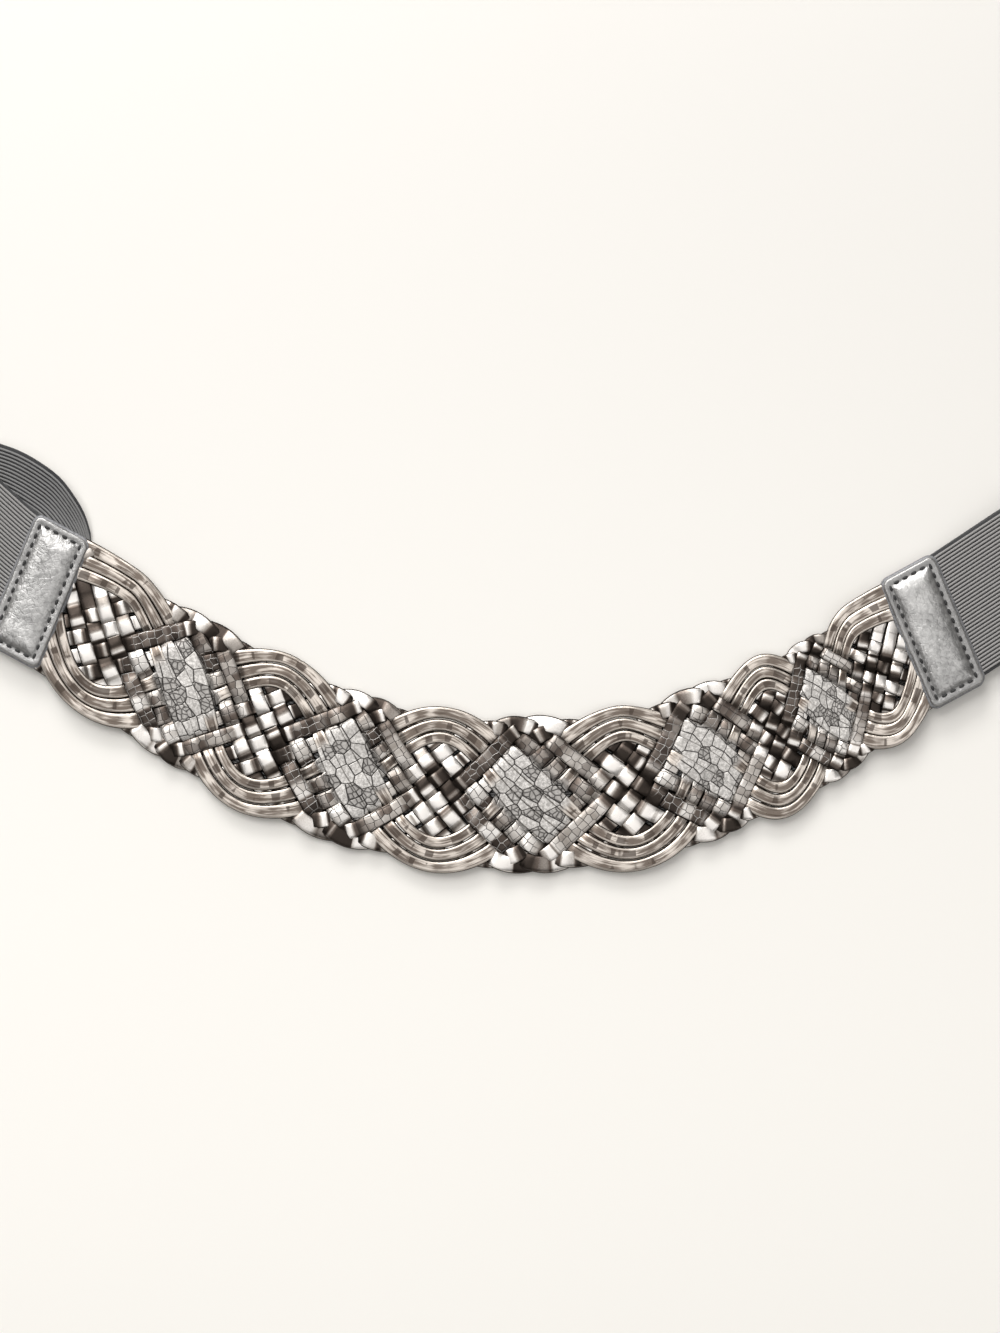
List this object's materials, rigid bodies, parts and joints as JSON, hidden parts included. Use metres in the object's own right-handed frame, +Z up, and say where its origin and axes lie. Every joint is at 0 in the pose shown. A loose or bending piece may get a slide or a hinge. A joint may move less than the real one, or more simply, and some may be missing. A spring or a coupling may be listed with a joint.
{
  "type": "stretch belt",
  "caption": "Stretch belt with a plaited metallic leather front panel of woven diamonds and ringed lobes between two stitched foil leather tabs, closed by a wide ribbed grey elastic.",
  "frame": {"origin": "middle of the belt's bounding box, on the surface that the belt lies on", "axes": "+X along the lying belt, +Y across it towards the ends that curve up in the picture, +Z up from the surface"},
  "size_m": [0.4182, 0.1544, 0.0096],
  "materials": {
    "ribbed_elastic": "matt, ribbed lengthwise",
    "foil_leather": "crinkled silver foil, satin",
    "backing_leather": "satin",
    "champagne_leather": "metallic, glossy",
    "silver_leather": "metallic, glossy, reptile grain"
  },
  "bodies": {
    "root": {"elastic_band": "ribbed_elastic", "tab_left_face": "foil_leather", "tab_left_backing": "backing_leather", "tab_right_face": "foil_leather", "tab_right_backing": "backing_leather", "ring_strip_1": "champagne_leather", "ring_strip_2": "champagne_leather", "ring_strip_3": "champagne_leather", "ring_strip_4": "champagne_leather", "ring_strip_5": "champagne_leather", "ring_strip_6": "champagne_leather", "silver_strip_1": "silver_leather", "silver_strip_2": "silver_leather", "silver_strip_3": "silver_leather", "silver_strip_4": "silver_leather", "silver_strip_5": "silver_leather", "silver_strip_6": "silver_leather", "silver_strip_7": "silver_leather", "silver_strip_8": "silver_leather"}
  },
  "joints": []
}
